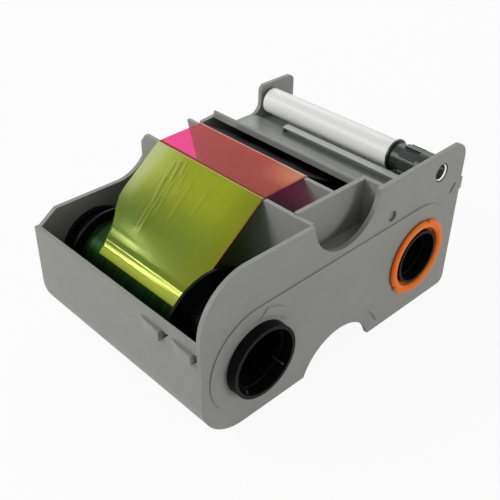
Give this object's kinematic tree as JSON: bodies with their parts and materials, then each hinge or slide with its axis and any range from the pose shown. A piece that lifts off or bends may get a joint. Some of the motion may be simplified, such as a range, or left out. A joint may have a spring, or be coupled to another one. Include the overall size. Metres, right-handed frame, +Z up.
{
  "type": "card printer ribbon cartridge",
  "caption": "Open plastic ribbon cartridge for a card printer: film runs from a supply spool over two dividers to a take-up spool, with a cleaning roller at the rear.",
  "frame": {"origin": "centre of the bounding box at the base, on the surface that the cartridge stands on", "axes": "+X to the side with the finger pocket and the coloured collar, +Y to the rear, where the cleaning roller is, +Z up"},
  "size_m": [0.1032, 0.146, 0.0712],
  "materials": {
    "frame_grey": "fine satin moulding",
    "core_black": "satin black moulding",
    "hub_black": "satin black moulding",
    "collar_orange": "satin moulding",
    "film_yellow": "thin glossy film, yellow panel",
    "film_magenta": "thin glossy film, magenta panel",
    "film_dark": "thin glossy film, dark panel",
    "roll_green": "wound glossy film",
    "roll_dark": "wound glossy film",
    "sleeve_grey": "tacky cleaning surface",
    "wrap_white": "smooth white wrap"
  },
  "bodies": {
    "frame": {"right_side_wall": "frame_grey", "left_side_wall": "frame_grey", "takeup_trough": "frame_grey", "supply_trough": "frame_grey", "front_divider": "frame_grey", "rear_divider": "frame_grey", "finger_pocket": "frame_grey", "roller_deck": "frame_grey", "front_lugs": "frame_grey", "rear_lug": "frame_grey", "film_yellow_panel": "film_yellow", "film_magenta_panel": "film_magenta", "film_supply_panel": "film_dark"},
    "takeup_spool": {"takeup_core": "core_black", "takeup_flange_right": "core_black", "takeup_flange_left": "core_black", "takeup_film_roll": "roll_green"},
    "supply_spool": {"supply_core": "core_black", "supply_flange_right": "core_black", "supply_flange_left": "core_black", "supply_film_roll": "roll_dark", "supply_collar": "collar_orange"},
    "cleaning_roller": {"roller_spindle": "hub_black", "roller_sleeve": "sleeve_grey", "roller_wrap": "wrap_white", "roller_hub": "hub_black"}
  },
  "joints": [
    {"name": "supply_spin", "type": "hinge", "parent": "frame", "child": "supply_spool", "pos_m": [0, 0.04575, 0.0265], "axis": [1, 0, 0], "continuous": true},
    {"name": "takeup_spin", "type": "hinge", "parent": "frame", "child": "takeup_spool", "pos_m": [0, -0.04565, 0.0276], "axis": [1, 0, 0], "continuous": true},
    {"name": "roller_spin", "type": "hinge", "parent": "frame", "child": "cleaning_roller", "pos_m": [0, 0.05605, 0.0608], "axis": [1, 0, 0], "continuous": true}
  ],
  "couplings": [
    {"joint": "takeup_spin", "follows": "supply_spin", "ratio": 1.0312}
  ]
}
